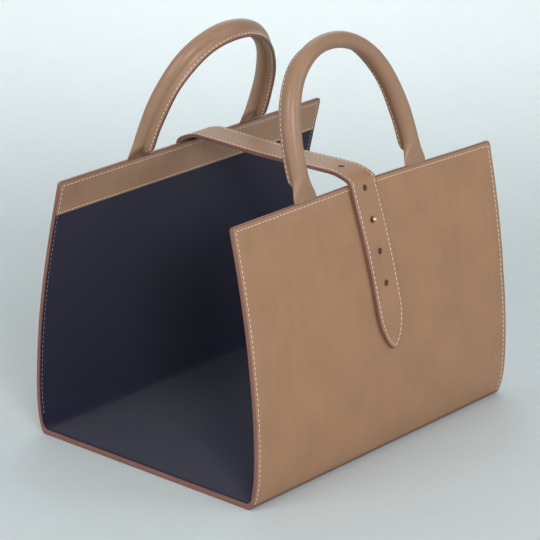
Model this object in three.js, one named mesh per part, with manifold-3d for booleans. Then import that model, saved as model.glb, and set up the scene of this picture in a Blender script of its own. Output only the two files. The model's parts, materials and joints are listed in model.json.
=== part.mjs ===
// Open-ended leather knitting bag: two curved walls on a flat base, lined in navy cloth, with two
// rolled handles and a strap that closes over the mouth on a ball stud.
// Millimetres, +Z up, the bag's length along X, the front wall (with the stud) at -Y.
// The origin is the middle of the underside of the base.

import * as THREE from 'three';
import { mergeVertices } from 'three/addons/utils/BufferGeometryUtils.js';
import Module from 'manifold-3d';

const wasm = await Module();
wasm.setup();

// ---------------------------------------------------------------- driving dimensions

const LENGTH = 326;
const HALF = LENGTH / 2;
const WALL_TOP = 224;

// Half-width of each wall's outside against height: in at the base, full at a quarter, narrow on top.
// The strap's pull brings the front wall's top further in than the back one's.
const WALL_FOOT = [
  { half: 115.1, z: 3.7 },
  { half: 118.4, z: 14 },
  { half: 120.0, z: 50 },
];
const FRONT_STATIONS = [
  ...WALL_FOOT,
  { half: 114.5, z: 112 },
  { half: 103.6, z: 168 },
  { half: 88.4, z: 226 },
];
const BACK_STATIONS = [
  ...WALL_FOOT,
  { half: 114.9, z: 112 },
  { half: 105.1, z: 168 },
  { half: 92.6, z: WALL_TOP },
];
const WALL_STEPS = 36;

// The front wall's top edge droops towards +X, and its ends lean that way above a height.
const FRONT_TOP = { high: 226, droop: 4.9, droopFrom: -20, droopTo: 190 };
const FRONT_LEAN = { above: 112, left: 4.2, right: 6.4 };
const EDGE_STEPS = 14;

// Layers of a wall, as depths in from the outer face.
const PANEL = { outer: 0, inner: 1.2 };
const MIDDLE = { outer: 1.4, inner: 2.1 };
const FACING = { outer: 2.3, inner: 3.1 };
const LINING_THICK = 0.4;
const FACING_HEIGHT = 29;
const CORNER_ROUND = 2.5;
const STIFFENER_LOW = 18;
const GAP = 0.3;

const BASE = { thick: 3.4, halfBottom: 114.4, halfTop: 115, round: 3 };
const BOARD = { halfLength: 148, halfWidth: 100, thick: 1 };
const FLOOR_CORNER = 7.5;

// Handles: a rolled arch of leather round a cord, its two edges sewn together as a flange that
// points into the bag. Both arches lean in over the mouth and sag a little to one end.
const ARCH = { halfSpan: 69.7, height: 117, shoulder: 94, shoulderOut: 4.9, crownHalf: 33 };
const TUBE_RADIUS = 7;
const HANDLE_LEATHER = 1.4;
const FLANGE = 6;
const SEAM = 0.3;
const FOOT = { halfWidth: 13, halfThick: 1.3, neck: 0, round: 18, spread: 24, flangeFrom: 4, flangeTo: 14 };
const HINGE_RISE = 1.8;
const FRONT_HANDLE = { lean: 15.3, sway: -7, stretch: 0.98 };
const BACK_HANDLE = { lean: 25.6, sway: -16.5, stretch: 1 };
const TAB = { halfWidth: 12.5, depth: 26, round: 5 };
const CORE = { radius: 4.9, startsAt: 21, sides: 10 };

// Strap: two layers of leather, sewn to the outside of the back wall, over the mouth and down the front.
const STRAP_HALF = 16;
const STRAP_X = -3;
const STRAP_STAND_OFF = 0.5;
const STRAP_LAYER = 1.4;
const STRAP_THICK = 3;
const BEND = { belowEdge: 0.4, crestHalf: { front: 70, back: 74 }, crestZ: 231.7, startPull: 3, crestPull: 5 };
const STRAP_SPLIT_Z = 213.5;
const ANCHOR_END_Z = 149;
const ANCHOR_ROUND = 8;
const TAIL_END_Z = 88;
const TAIL_POINT = 38;
const LEAF = { belly: 20, tipPull: 8, tipRise: 3, tipHalf: 1.5 };
const TAIL_DRIFT = 4.7;
const HOLE_RADIUS = 2.25;
const HOLE_PITCH = 26.7;
const STUD_Z = 195.3;
const STUD_HOLE_RADIUS = 2.9;

// Ball stud: heights are measured out from the front panel's outer face.
const STUD = { shank: 1.3, inEnd: -2, neck: 1.6, neckFrom: 0.2, ball: 2.5, ballAt: 5.3 };
const BACKPLATE = { radius: 5, bore: 1.6 };

const FRONT = -1;
const BACK = 1;

// ---------------------------------------------------------------- materials

const tanLeather = { color: '#9e7a60', roughness: 0.5, metalness: 0 };
const paintedEdge = { color: '#8f5849', roughness: 0.45, metalness: 0 };
const navyCloth = { color: '#2a2834', roughness: 0.9, metalness: 0 };
const greyBoard = { color: '#8d8778', roughness: 0.9, metalness: 0 };
const cottonCord = { color: '#d8cfb8', roughness: 0.9, metalness: 0 };
const brass = { color: '#c9a458', roughness: 0.25, metalness: 1 };

const bag = new THREE.Group();

function addPiece(name, geometry, finish, parent = bag) {
  const mesh = new THREE.Mesh(geometry, new THREE.MeshStandardMaterial(finish));
  mesh.name = name;
  parent.add(mesh);
  return mesh;
}

// ---------------------------------------------------------------- solid tools

const smooth = THREE.MathUtils.smoothstep;
const mix = THREE.MathUtils.lerp;

function toSolid(geometry) {
  const bare = geometry.clone();
  bare.deleteAttribute('normal');
  bare.deleteAttribute('uv');
  const merged = mergeVertices(bare, 1e-4);
  return new wasm.Manifold(new wasm.Mesh({
    numProp: 3,
    vertProperties: new Float32Array(merged.attributes.position.array),
    triVerts: new Uint32Array(merged.index.array),
  }));
}

function toGeometry(solid) {
  const mesh = solid.getMesh();
  const geometry = new THREE.BufferGeometry();
  geometry.setAttribute('position', new THREE.BufferAttribute(new Float32Array(mesh.vertProperties), 3));
  geometry.setIndex(new THREE.BufferAttribute(new Uint32Array(mesh.triVerts), 1));
  geometry.computeVertexNormals();
  return geometry;
}

// A closed outline in the YZ plane, pulled along X.
const YZ_TO_X = new THREE.Matrix4().makeBasis(
  new THREE.Vector3(0, 1, 0),
  new THREE.Vector3(0, 0, 1),
  new THREE.Vector3(1, 0, 0),
);

function pullAlongX(outline, fromX, toX) {
  const geometry = new THREE.ExtrudeGeometry(new THREE.Shape(outline), {
    depth: toX - fromX,
    bevelEnabled: false,
  });
  geometry.applyMatrix4(YZ_TO_X);
  geometry.translate(fromX, 0, 0);
  return geometry;
}

// A closed outline in the XZ plane, pulled right through the bag along Y on one side of it.
const XZ_TO_Y = new THREE.Matrix4().makeBasis(
  new THREE.Vector3(1, 0, 0),
  new THREE.Vector3(0, 0, 1),
  new THREE.Vector3(0, -1, 0),
);
const THROUGH = 160;

function pullThroughWall(shape, side, curveSegments = 6) {
  const geometry = new THREE.ExtrudeGeometry(shape, { depth: THROUGH, bevelEnabled: false, curveSegments });
  geometry.applyMatrix4(XZ_TO_Y);
  geometry.translate(0, side === BACK ? THROUGH : 0, 0);
  return toSolid(geometry);
}

// Rings of equal size become one closed body with flat ends; faces are turned to point out.
function loft(rings) {
  const size = rings[0].length;
  const positions = rings.flat().flatMap((p) => [p.x, p.y, p.z]);
  const faces = [];
  for (let i = 0; i + 1 < rings.length; i += 1) {
    for (let j = 0; j < size; j += 1) {
      const a = i * size + j;
      const b = i * size + ((j + 1) % size);
      faces.push([a, b, b + size], [a, b + size, a + size]);
    }
  }
  return { positions, faces, size, count: rings.length };
}

function closeLoft(body, capTriangles) {
  const last = (body.count - 1) * body.size;
  const faces = [...body.faces];
  for (const [a, b, c] of capTriangles) {
    faces.push([a, c, b], [last + a, last + b, last + c]);
  }
  const at = (i) => new THREE.Vector3().fromArray(body.positions, 3 * i);
  const volume = faces.reduce((sum, [a, b, c]) => sum + at(a).dot(at(b).cross(at(c))), 0);
  const turned = volume < 0 ? faces.map(([a, b, c]) => [a, c, b]) : faces;
  const geometry = new THREE.BufferGeometry();
  geometry.setAttribute('position', new THREE.Float32BufferAttribute(body.positions, 3));
  geometry.setIndex(turned.flat());
  geometry.computeVertexNormals();
  return geometry;
}

// ---------------------------------------------------------------- the walls' curve

function curveThrough(stations) {
  const points = stations.map(({ half, z }) => new THREE.Vector3(0, half, z));
  const curve = new THREE.CatmullRomCurve3(points, false, 'centripetal');
  curve.arcLengthDivisions = 400;
  return curve;
}

const WALL_CURVES = { [FRONT]: curveThrough(FRONT_STATIONS), [BACK]: curveThrough(BACK_STATIONS) };

// How far along its curve, 0 to 1, a wall reaches height z.
function alongAtHeight(z, side) {
  let low = 0;
  let high = 1;
  for (let i = 0; i < 40; i += 1) {
    const middle = (low + high) / 2;
    if (WALL_CURVES[side].getPointAt(middle).z < z) {
      low = middle;
    } else {
      high = middle;
    }
  }
  return low;
}

// The wall's outer face and its normal, as (y, z) pairs on one side of the bag.
function wallNormal(along, side) {
  const tangent = WALL_CURVES[side].getTangentAt(along);
  return new THREE.Vector2(side * tangent.z, -tangent.y);
}

function wallPoint(along, depth, side) {
  const point = WALL_CURVES[side].getPointAt(along);
  return new THREE.Vector2(side * point.y, point.z).addScaledVector(wallNormal(along, side), -depth);
}

// Every layer turns at the same stations, so neighbouring layers stay parallel.
function stationsBetween(from, to) {
  const margin = 0.2 / WALL_STEPS;
  const shared = Array.from({ length: WALL_STEPS + 1 }, (_, i) => i / WALL_STEPS);
  return [from, ...shared.filter((along) => along > from + margin && along < to - margin), to];
}

function wallRun(from, to, depth, side) {
  return stationsBetween(from, to).map((along) => wallPoint(along, depth, side));
}

// The section of one layer between two heights.
function layerOutline(layer, lowZ, highZ, side) {
  const from = alongAtHeight(lowZ, side);
  const to = alongAtHeight(highZ, side);
  const outer = wallRun(from, to, layer.outer, side);
  const inner = wallRun(from, to, layer.inner, side);
  return [...outer, ...inner.reverse()];
}

// The height of a wall's top edge at a place along the bag.
function edgeHeight(x, side) {
  if (side === BACK) {
    return WALL_TOP;
  }
  const { high, droop, droopFrom, droopTo } = FRONT_TOP;
  return high - droop * smooth(x, droopFrom, droopTo);
}

// A wall's outline seen from the side, with its two upper corners rounded.
function wallOutline(side) {
  const left = -HALF + (side === FRONT ? FRONT_LEAN.left : 0);
  const right = HALF + (side === FRONT ? FRONT_LEAN.right : 0);
  const leftHeight = edgeHeight(left, side);
  const rightHeight = edgeHeight(right, side);
  const shape = new THREE.Shape();
  shape.moveTo(-HALF, -1);
  shape.lineTo(HALF, -1);
  shape.lineTo(HALF, FRONT_LEAN.above);
  shape.lineTo(right, rightHeight - CORNER_ROUND);
  shape.quadraticCurveTo(right, rightHeight, right - CORNER_ROUND, edgeHeight(right - CORNER_ROUND, side));
  for (let i = 1; i <= EDGE_STEPS; i += 1) {
    const x = mix(right - CORNER_ROUND, left + CORNER_ROUND, i / EDGE_STEPS);
    shape.lineTo(x, edgeHeight(x, side));
  }
  shape.quadraticCurveTo(left, leftHeight, left, leftHeight - CORNER_ROUND);
  shape.lineTo(-HALF, FRONT_LEAN.above);
  shape.closePath();
  return shape;
}

// A round bar standing on the wall along its normal, at height z, used to cut holes.
function wallBar(x, z, radius, side) {
  const along = alongAtHeight(z, side);
  const centre = wallPoint(along, 0, side);
  const normal = wallNormal(along, side);
  return barAt(x, centre, normal, radius);
}

function barAt(x, centre, normal, radius) {
  const geometry = new THREE.CylinderGeometry(radius, radius, 24, 16);
  const turn = new THREE.Quaternion().setFromUnitVectors(
    new THREE.Vector3(0, 1, 0),
    new THREE.Vector3(0, normal.x, normal.y),
  );
  geometry.applyQuaternion(turn);
  geometry.translate(x, centre.x, centre.y);
  return toSolid(geometry);
}

// ---------------------------------------------------------------- walls

// Sheets that an outline trims are first made larger than it by SPARE.
const SPARE = 5;
const SHEET_TOP = FRONT_TOP.high + SPARE;
const STUD_X = STRAP_X + (WALL_TOP - STUD_Z) * Math.tan(THREE.MathUtils.degToRad(TAIL_DRIFT));

function cutSheet(layer, lowZ, side) {
  const outline = layerOutline(layer, lowZ, SHEET_TOP, side);
  const sheet = toSolid(pullAlongX(outline, -HALF - 2 * SPARE, HALF + 2 * SPARE));
  return sheet.intersect(pullThroughWall(wallOutline(side), side));
}

function buildPanel(side) {
  let panel = cutSheet(PANEL, WALL_FOOT[0].z, side);
  if (side === FRONT) {
    panel = panel.subtract(wallBar(STUD_X, STUD_Z, BACKPLATE.bore, side));
  }
  return toGeometry(panel);
}

function buildFacing(side) {
  return toGeometry(cutSheet(FACING, WALL_TOP - FACING_HEIGHT, side));
}

// A tongue that hangs from above the wall's top down to lowZ, with its two lower corners rounded.
function tongueShape(x, half, lowZ, round) {
  const shape = new THREE.Shape();
  shape.moveTo(x - half, SHEET_TOP);
  shape.lineTo(x - half, lowZ + round);
  shape.absarc(x - half + round, lowZ + round, round, Math.PI, 1.5 * Math.PI, false);
  shape.absarc(x + half - round, lowZ + round, round, 1.5 * Math.PI, 2 * Math.PI, false);
  shape.lineTo(x + half, SHEET_TOP);
  shape.closePath();
  return shape;
}

// The outline of a handle's tab, widened by a margin for the pocket that it fills.
function tabShape(x, margin) {
  return tongueShape(x, TAB.halfWidth + margin, WALL_TOP - TAB.depth - margin, TAB.round);
}

function buildTab(x, side) {
  const sheet = cutSheet(MIDDLE, WALL_TOP - TAB.depth - SPARE, side);
  return toGeometry(sheet.intersect(pullThroughWall(tabShape(x, 0), side, 3)));
}

function buildStiffener(side) {
  let board = cutSheet(MIDDLE, STIFFENER_LOW, side);
  for (const x of [-ARCH.halfSpan, ARCH.halfSpan]) {
    board = board.subtract(pullThroughWall(tabShape(x, GAP), side, 3));
  }
  if (side === FRONT) {
    board = board.subtract(wallBar(STUD_X, STUD_Z, BACKPLATE.radius + GAP, side));
  }
  return toGeometry(board);
}

// ---------------------------------------------------------------- base and lining

function buildBase() {
  const { thick, halfBottom, halfTop, round } = BASE;
  const shape = new THREE.Shape();
  shape.moveTo(-halfBottom + round, 0);
  shape.lineTo(halfBottom - round, 0);
  shape.quadraticCurveTo(halfBottom, 0, halfBottom + 0.4, round);
  shape.lineTo(halfTop, thick);
  shape.lineTo(-halfTop, thick);
  shape.lineTo(-halfBottom - 0.4, round);
  shape.quadraticCurveTo(-halfBottom, 0, -halfBottom + round, 0);
  const slab = toSolid(pullAlongX(shape.getPoints(4), -HALF, HALF));
  const pocketDepth = BOARD.thick + 2 * GAP;
  const pocket = new THREE.BoxGeometry(2 * (BOARD.halfLength + GAP), 2 * (BOARD.halfWidth + GAP), 2 * pocketDepth);
  pocket.translate(0, 0, thick);
  return toGeometry(slab.subtract(toSolid(pocket)));
}

function buildBoard() {
  const board = new THREE.BoxGeometry(2 * BOARD.halfLength, 2 * BOARD.halfWidth, BOARD.thick);
  board.translate(0, 0, BASE.thick - GAP - BOARD.thick / 2);
  return board;
}

// One cloth from the front facing's lower edge, down, across the floor and up the back.
function liningHalf(depth, side) {
  const sink = depth - FACING.outer;
  const radius = FLOOR_CORNER - sink;
  const floor = BASE.thick + GAP + sink;
  const from = alongAtHeight(BASE.thick + GAP + FLOOR_CORNER, side);
  const to = alongAtHeight(WALL_TOP - FACING_HEIGHT - GAP, side);
  const wall = wallRun(from, to, depth, side);
  const centreY = wall[0].x - side * radius;
  const corner = Array.from({ length: 4 }, (_, i) => {
    const angle = (i * Math.PI) / 8;
    return new THREE.Vector2(centreY + side * radius * Math.sin(angle), floor + radius - radius * Math.cos(angle));
  });
  return [...corner, ...wall];
}

function buildLining() {
  const whole = (depth) => [...liningHalf(depth, FRONT).reverse(), ...liningHalf(depth, BACK)];
  const outline = [...whole(FACING.outer), ...whole(FACING.outer + LINING_THICK).reverse()];
  const cloth = toSolid(pullAlongX(outline, -HALF - SPARE, HALF + SPARE));
  return toGeometry(cloth.intersect(pullThroughWall(wallOutline(FRONT), FRONT).add(backHalf())));
}

// The room behind the bag's middle, as long as the bag.
function backHalf() {
  const room = new THREE.BoxGeometry(LENGTH, THROUGH, 2 * SHEET_TOP);
  room.translate(0, THROUGH / 2, 0);
  return toSolid(room);
}

// ---------------------------------------------------------------- handles

const archLeft = new THREE.CubicBezierCurve(
  new THREE.Vector2(-ARCH.halfSpan, 0),
  new THREE.Vector2(-ARCH.halfSpan - ARCH.shoulderOut, ARCH.shoulder),
  new THREE.Vector2(-ARCH.crownHalf, ARCH.height),
  new THREE.Vector2(0, ARCH.height),
);
const archRight = new THREE.CubicBezierCurve(
  new THREE.Vector2(0, ARCH.height),
  new THREE.Vector2(ARCH.crownHalf, ARCH.height),
  new THREE.Vector2(ARCH.halfSpan + ARCH.shoulderOut, ARCH.shoulder),
  new THREE.Vector2(ARCH.halfSpan, 0),
);
const arch = new THREE.CurvePath();
arch.add(archLeft);
arch.add(archRight);
const ARCH_LENGTH = arch.getLength();

// The rolled section at a distance from the nearer foot: flat and wide at the foot, round above.
function sectionAt(fromFoot) {
  return {
    halfWidth: mix(FOOT.halfWidth, TUBE_RADIUS, smooth(fromFoot, 0, FOOT.spread)),
    halfThick: mix(FOOT.halfThick, TUBE_RADIUS, smooth(fromFoot, FOOT.neck, FOOT.round)),
    flange: mix(0.4, FLANGE, smooth(fromFoot, FOOT.flangeFrom, FOOT.flangeTo)),
  };
}

// The leather's section as a strip bent round the cord, its two ends side by side in the flange.
const RIM_POINTS = 11;

function leatherRing(section) {
  const { halfWidth, halfThick, flange } = section;
  const leaf = SEAM / 2 + HANDLE_LEATHER;
  const start = Math.asin(leaf / halfWidth);
  const insideWidth = halfWidth - HANDLE_LEATHER;
  const insideThick = Math.max(halfThick - HANDLE_LEATHER, SEAM / 2);
  const insideStart = Math.asin(SEAM / 2 / insideWidth);
  const rim = (startAngle, width, thick) => Array.from({ length: RIM_POINTS }, (_, i) => {
    const angle = mix(startAngle, 2 * Math.PI - startAngle, i / (RIM_POINTS - 1));
    return new THREE.Vector2(width * Math.sin(angle), thick * Math.cos(angle));
  });
  const tip = halfThick * Math.cos(start) + flange;
  return [
    new THREE.Vector2(leaf, tip),
    ...rim(start, halfWidth, halfThick),
    new THREE.Vector2(-leaf, tip),
    new THREE.Vector2(-SEAM / 2, tip),
    ...rim(insideStart, insideWidth, insideThick).reverse(),
    new THREE.Vector2(SEAM / 2, tip),
  ];
}

// Ends of the strip: quads between the outer and inner rims, split into triangles.
function leatherCap() {
  const outer = RIM_POINTS + 2;
  const partner = (i) => 2 * outer - 1 - i;
  const triangles = [];
  for (let i = 0; i + 1 < outer; i += 1) {
    triangles.push([i, i + 1, partner(i + 1)], [i, partner(i + 1), partner(i)]);
  }
  return triangles;
}

function coreRing(radius, sides) {
  return Array.from({ length: sides }, (_, i) => {
    const angle = (2 * Math.PI * i) / sides;
    return new THREE.Vector2(radius * Math.cos(angle), radius * Math.sin(angle));
  });
}

function fanCap(sides) {
  return Array.from({ length: sides - 2 }, (_, i) => [0, i + 1, i + 2]);
}

// How far a wall's top edge drops, per mm towards +X, between its handle's feet.
function edgeDrop(side) {
  return (edgeHeight(-ARCH.halfSpan, side) - edgeHeight(ARCH.halfSpan, side)) / (2 * ARCH.halfSpan);
}

// Sections set square to the arch, in the handle's own frame: X along the bag, Z up the arch,
// and the flange towards the bag's inside. Both feet stand at the same height over the wall's edge.
function ringOnArch(distance, ring, side, { sway, stretch }) {
  const along = distance / ARCH_LENGTH;
  const centre = arch.getPointAt(along);
  const tangent = arch.getTangentAt(along);
  return ring.map((p) => {
    const x = centre.x - tangent.y * p.x;
    const z = centre.y + tangent.x * p.x;
    return new THREE.Vector3(x + (sway * z) / ARCH.height, -side * p.y, stretch * z - edgeDrop(side) * x);
  });
}

// Distances along the arch: close together where the foot changes shape, then evenly spaced.
const FOOT_STEPS = 11;
const FOOT_REACH = 36;
const ARCH_STEPS = 22;

function archDistances() {
  const near = Array.from({ length: FOOT_STEPS + 1 }, (_, i) => FOOT_REACH * (i / FOOT_STEPS) ** 1.4);
  const straight = FOOT_REACH;
  const steps = ARCH_STEPS;
  const middle = Array.from({ length: steps - 1 }, (_, i) => mix(straight, ARCH_LENGTH - straight, (i + 1) / steps));
  return [...near, ...middle, ...near.map((d) => ARCH_LENGTH - d).reverse()];
}

function buildHandleLeather(side, pose) {
  const rings = archDistances().map((distance) => {
    const fromFoot = Math.min(distance, ARCH_LENGTH - distance);
    return ringOnArch(distance, leatherRing(sectionAt(fromFoot)), side, pose);
  });
  return closeLoft(loft(rings), leatherCap());
}

function buildHandleCore(side, pose) {
  const { radius, startsAt, sides } = CORE;
  const rings = archDistances()
    .filter((distance) => distance > startsAt - 1 && distance < ARCH_LENGTH - startsAt + 1)
    .map((distance) => ringOnArch(distance, coreRing(radius, sides), side, pose));
  return closeLoft(loft(rings), fanCap(sides));
}

// The middle of a handle's hinge line, which runs just over the wall's top edge from foot to foot.
function handleHinge(side) {
  const middle = (MIDDLE.outer + MIDDLE.inner) / 2;
  const edge = (edgeHeight(-ARCH.halfSpan, side) + edgeHeight(ARCH.halfSpan, side)) / 2;
  const top = wallPoint(alongAtHeight(edge, side), middle, side);
  return new THREE.Vector3(0, top.x, top.y + HINGE_RISE);
}

function addHandle(label, side, pose) {
  const group = new THREE.Group();
  group.position.copy(handleHinge(side));
  group.rotation.x = side * THREE.MathUtils.degToRad(pose.lean);
  bag.add(group);
  addPiece(`${label}_handle_leather`, buildHandleLeather(side, pose), tanLeather, group);
  addPiece(`${label}_handle_core`, buildHandleCore(side, pose), cottonCord, group);
  addPiece(`${label}_handle_tab_left`, buildTab(-ARCH.halfSpan, side), tanLeather);
  addPiece(`${label}_handle_tab_right`, buildTab(ARCH.halfSpan, side), tanLeather);
}

// ---------------------------------------------------------------- strap

// Stations along the strap: a point on its inner face and the normal pointing out of the strap's top.
function strapOnWall(fromZ, toZ, side) {
  return stationsBetween(alongAtHeight(fromZ, side), alongAtHeight(toZ, side)).map((along) => ({
    point: wallPoint(along, -STRAP_STAND_OFF, side),
    normal: wallNormal(along, side),
  }));
}

// A bend runs smoothly from the wall's face, a little below its top edge, to the flat bridge.
const bendStart = (side) => edgeHeight(STRAP_X, side) - BEND.belowEdge;

function strapBend(side, steps) {
  const along = alongAtHeight(bendStart(side), side);
  const normal = wallNormal(along, side);
  const start = wallPoint(along, -STRAP_STAND_OFF, side);
  const up = new THREE.Vector2(-side * normal.y, side * normal.x);
  const crestHalf = side === FRONT ? BEND.crestHalf.front : BEND.crestHalf.back;
  const crest = new THREE.Vector2(side * crestHalf, BEND.crestZ);
  const curve = new THREE.CubicBezierCurve(
    start,
    start.clone().addScaledVector(up, BEND.startPull),
    crest.clone().add(new THREE.Vector2(side * BEND.crestPull, 0)),
    crest,
  );
  return Array.from({ length: steps }, (_, i) => {
    const tangent = curve.getTangentAt((i + 1) / steps);
    const out = new THREE.Vector2(side * tangent.y, -side * tangent.x);
    return { point: curve.getPointAt((i + 1) / steps), normal: out };
  });
}

function strapOutline(stations, low, high) {
  const run = (offset) => stations.map(({ point, normal }) => point.clone().addScaledVector(normal, offset));
  return [...run(low), ...run(high).reverse()];
}

const STRAP_TOP_LAYER = { low: STRAP_THICK - STRAP_LAYER, high: STRAP_THICK };
const STRAP_BACKING = { low: 0, high: STRAP_LAYER };

const bridgeStations = [
  ...strapOnWall(ANCHOR_END_Z, bendStart(BACK), BACK),
  ...strapBend(BACK, 8),
  ...strapBend(FRONT, 8).reverse(),
  ...strapOnWall(STRAP_SPLIT_Z + GAP, bendStart(FRONT), FRONT).reverse(),
];

// Distance up the front wall's face to height z.
function alongFront(z) {
  return alongAtHeight(z, FRONT) * WALL_CURVES[FRONT].getLength();
}

// Holes of the strap, counted up from the stud along the strap's length.
function bridgeHoles() {
  const length = (a, b) => a.point.distanceTo(b.point);
  const holes = [];
  let travelled = alongFront(STRAP_SPLIT_Z + GAP) - alongFront(STUD_Z);
  let next = HOLE_PITCH;
  for (let i = bridgeStations.length - 1; i > 0 && holes.length < 2; i -= 1) {
    const here = bridgeStations[i];
    const there = bridgeStations[i - 1];
    const step = length(here, there);
    while (travelled + step > next && holes.length < 2) {
      const share = (next - travelled) / step;
      const centre = here.point.clone().lerp(there.point, share);
      const normal = here.normal.clone().lerp(there.normal, share).normalize();
      holes.push(barAt(STRAP_X, centre, normal, HOLE_RADIUS));
      next += HOLE_PITCH;
    }
    travelled += step;
  }
  return holes;
}

// The sewn end on the back wall has its lower corners rounded.
function sewnEndTrim() {
  const shape = tongueShape(STRAP_X, STRAP_HALF, ANCHOR_END_Z, ANCHOR_ROUND);
  const above = new THREE.BoxGeometry(3 * STRAP_HALF, 2 * THROUGH, THROUGH);
  above.translate(STRAP_X, 0, STRAP_SPLIT_Z + THROUGH / 2);
  return pullThroughWall(shape, BACK).add(toSolid(above));
}

function buildBridgeLayer(layer) {
  const outline = strapOutline(bridgeStations, layer.low, layer.high);
  const strip = toSolid(pullAlongX(outline, STRAP_X - STRAP_HALF, STRAP_X + STRAP_HALF));
  const trimmed = strip.intersect(sewnEndTrim());
  return toGeometry(bridgeHoles().reduce((solid, hole) => solid.subtract(hole), trimmed));
}

// The hanging end: straight sides, then a leaf-shaped point. It drifts a little towards +X.
const driftAngle = THREE.MathUtils.degToRad(TAIL_DRIFT);

function tailShape() {
  const drop = STRAP_SPLIT_Z - TAIL_END_Z;
  const straight = drop - TAIL_POINT;
  const flat = new THREE.Shape();
  const { belly, tipPull, tipRise, tipHalf } = LEAF;
  const above = 4 * SPARE;
  flat.moveTo(-STRAP_HALF, above);
  flat.lineTo(-STRAP_HALF, -straight);
  flat.bezierCurveTo(-STRAP_HALF, -straight - belly, -tipPull, -drop + tipRise, -tipHalf, -drop);
  flat.lineTo(tipHalf, -drop);
  flat.bezierCurveTo(tipPull, -drop + tipRise, STRAP_HALF, -straight - belly, STRAP_HALF, -straight);
  flat.lineTo(STRAP_HALF, above);
  flat.closePath();
  const pivot = new THREE.Vector2(STRAP_X + tailShift(STRAP_SPLIT_Z), STRAP_SPLIT_Z);
  const origin = new THREE.Vector2();
  return new THREE.Shape(flat.getPoints(8).map((p) => p.rotateAround(origin, driftAngle).add(pivot)));
}

// How far the tail's middle line has drifted along X at height z.
function tailShift(z) {
  return (WALL_TOP - z) * Math.tan(driftAngle);
}

function buildTailLayer(layer) {
  const stations = strapOnWall(TAIL_END_Z - SPARE, STRAP_SPLIT_Z, FRONT);
  const reach = 3 * STRAP_HALF;
  const strip = toSolid(pullAlongX(strapOutline(stations, layer.low, layer.high), -reach, reach));
  let tail = strip.intersect(pullThroughWall(tailShape(), FRONT));
  tail = tail.subtract(wallBar(STUD_X, STUD_Z, STUD_HOLE_RADIUS, FRONT));
  for (const below of [1, 2]) {
    const z = alongDown(STUD_Z, below * HOLE_PITCH);
    tail = tail.subtract(wallBar(STRAP_X + tailShift(z), z, HOLE_RADIUS, FRONT));
  }
  return toGeometry(tail);
}

// The height reached by going a distance down the wall's face from height z.
function alongDown(z, distance) {
  const along = alongAtHeight(z, FRONT) - distance / WALL_CURVES[FRONT].getLength();
  return WALL_CURVES[FRONT].getPointAt(along).z;
}

// ---------------------------------------------------------------- stud

function studGeometry(profile) {
  const lathe = new THREE.LatheGeometry(profile, 20);
  const along = alongAtHeight(STUD_Z, FRONT);
  const normal = wallNormal(along, FRONT);
  const centre = wallPoint(along, 0, FRONT);
  const turn = new THREE.Quaternion().setFromUnitVectors(
    new THREE.Vector3(0, 1, 0),
    new THREE.Vector3(0, normal.x, normal.y),
  );
  lathe.applyQuaternion(turn);
  lathe.translate(STUD_X, centre.x, centre.y);
  return toGeometry(toSolid(lathe));
}

function buildStud() {
  const { shank, inEnd, neck, neckFrom, ball, ballAt } = STUD;
  const join = Math.asin(neck / ball);
  const profile = [
    new THREE.Vector2(0, inEnd),
    new THREE.Vector2(shank, inEnd),
    new THREE.Vector2(shank, neckFrom),
    new THREE.Vector2(neck, neckFrom),
  ];
  const steps = 8;
  for (let i = 0; i <= steps; i += 1) {
    const angle = mix(join, Math.PI, i / steps);
    profile.push(new THREE.Vector2(i === steps ? 0 : ball * Math.sin(angle), ballAt - ball * Math.cos(angle)));
  }
  return studGeometry(profile);
}

function buildBackplate() {
  const { radius, bore } = BACKPLATE;
  return studGeometry([
    new THREE.Vector2(bore, -MIDDLE.inner),
    new THREE.Vector2(radius, -MIDDLE.inner),
    new THREE.Vector2(radius, -MIDDLE.outer),
    new THREE.Vector2(bore, -MIDDLE.outer),
    new THREE.Vector2(bore, -MIDDLE.inner),
  ]);
}

// ---------------------------------------------------------------- assembly

addPiece('front_panel', buildPanel(FRONT), tanLeather);
addPiece('back_panel', buildPanel(BACK), tanLeather);
addPiece('base_panel', buildBase(), paintedEdge);
addPiece('base_board', buildBoard(), greyBoard);
addPiece('front_stiffener', buildStiffener(FRONT), greyBoard);
addPiece('back_stiffener', buildStiffener(BACK), greyBoard);
addPiece('front_facing', buildFacing(FRONT), tanLeather);
addPiece('back_facing', buildFacing(BACK), tanLeather);
addPiece('lining', buildLining(), navyCloth);

addHandle('front', FRONT, FRONT_HANDLE);
addHandle('back', BACK, BACK_HANDLE);

addPiece('strap_bridge', buildBridgeLayer(STRAP_TOP_LAYER), tanLeather);
addPiece('strap_bridge_backing', buildBridgeLayer(STRAP_BACKING), tanLeather);
addPiece('strap_tail', buildTailLayer(STRAP_TOP_LAYER), tanLeather);
addPiece('strap_tail_backing', buildTailLayer(STRAP_BACKING), tanLeather);
addPiece('stud_post', buildStud(), brass);
addPiece('stud_backplate', buildBackplate(), brass);

export default bag;
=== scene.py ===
import json
import math
import random

import bpy
import numpy as np
from mathutils import Matrix, Vector
from mathutils.bvhtree import BVHTree
from mathutils.geometry import delaunay_2d_cdt


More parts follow.
